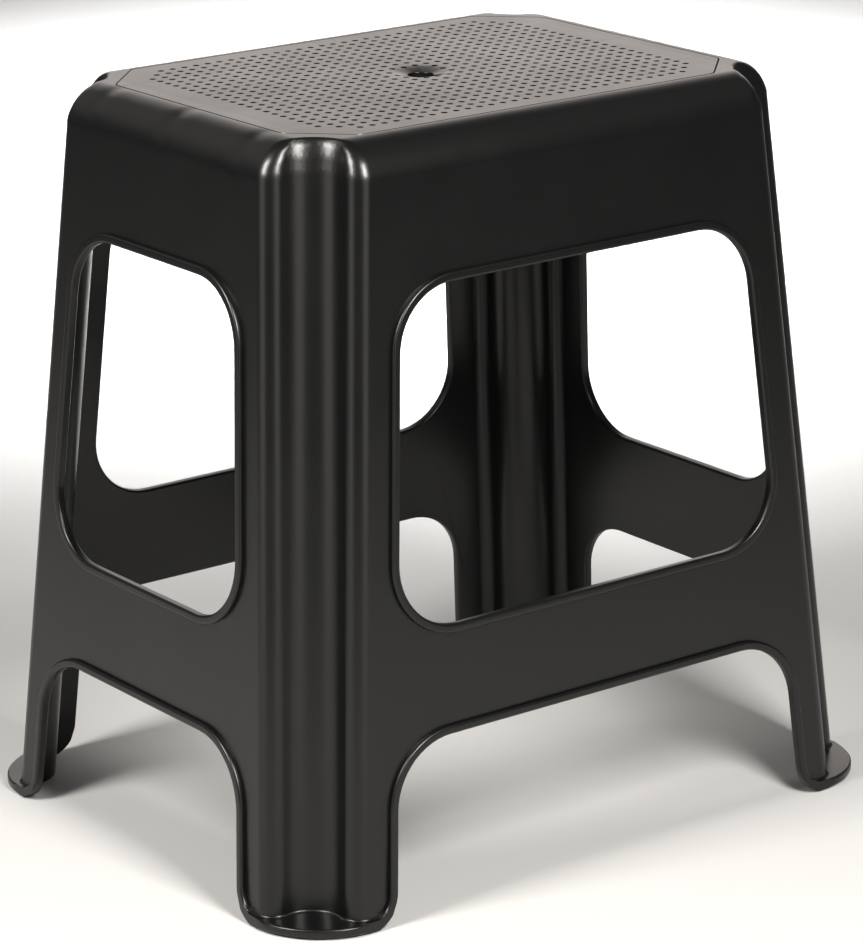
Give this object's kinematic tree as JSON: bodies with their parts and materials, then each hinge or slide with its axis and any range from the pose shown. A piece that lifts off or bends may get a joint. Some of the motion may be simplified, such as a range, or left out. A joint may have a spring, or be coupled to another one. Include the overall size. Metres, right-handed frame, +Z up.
{
  "type": "plastic stool",
  "caption": "Moulded black plastic stool with flared legs, fluted corners, lipped windows and arches in every wall, and a dotted seat panel with a finger hole.",
  "frame": {"origin": "middle of the footprint, on the floor plane under the foot pads", "axes": "+Z up, X along the long side of the seat, Y along its short side; the front is the long side that faces -Y"},
  "size_m": [0.425, 0.339, 0.425],
  "materials": {
    "shell_plastic": "satin black polypropylene",
    "panel_plastic": "satin black polypropylene with anti-slip dots",
    "pad_rubber": "matt black"
  },
  "bodies": {
    "root": {"body_shell": "shell_plastic", "seat_panel": "panel_plastic", "foot_pad_front_left": "pad_rubber", "foot_pad_front_right": "pad_rubber", "foot_pad_back_left": "pad_rubber", "foot_pad_back_right": "pad_rubber"}
  },
  "joints": []
}
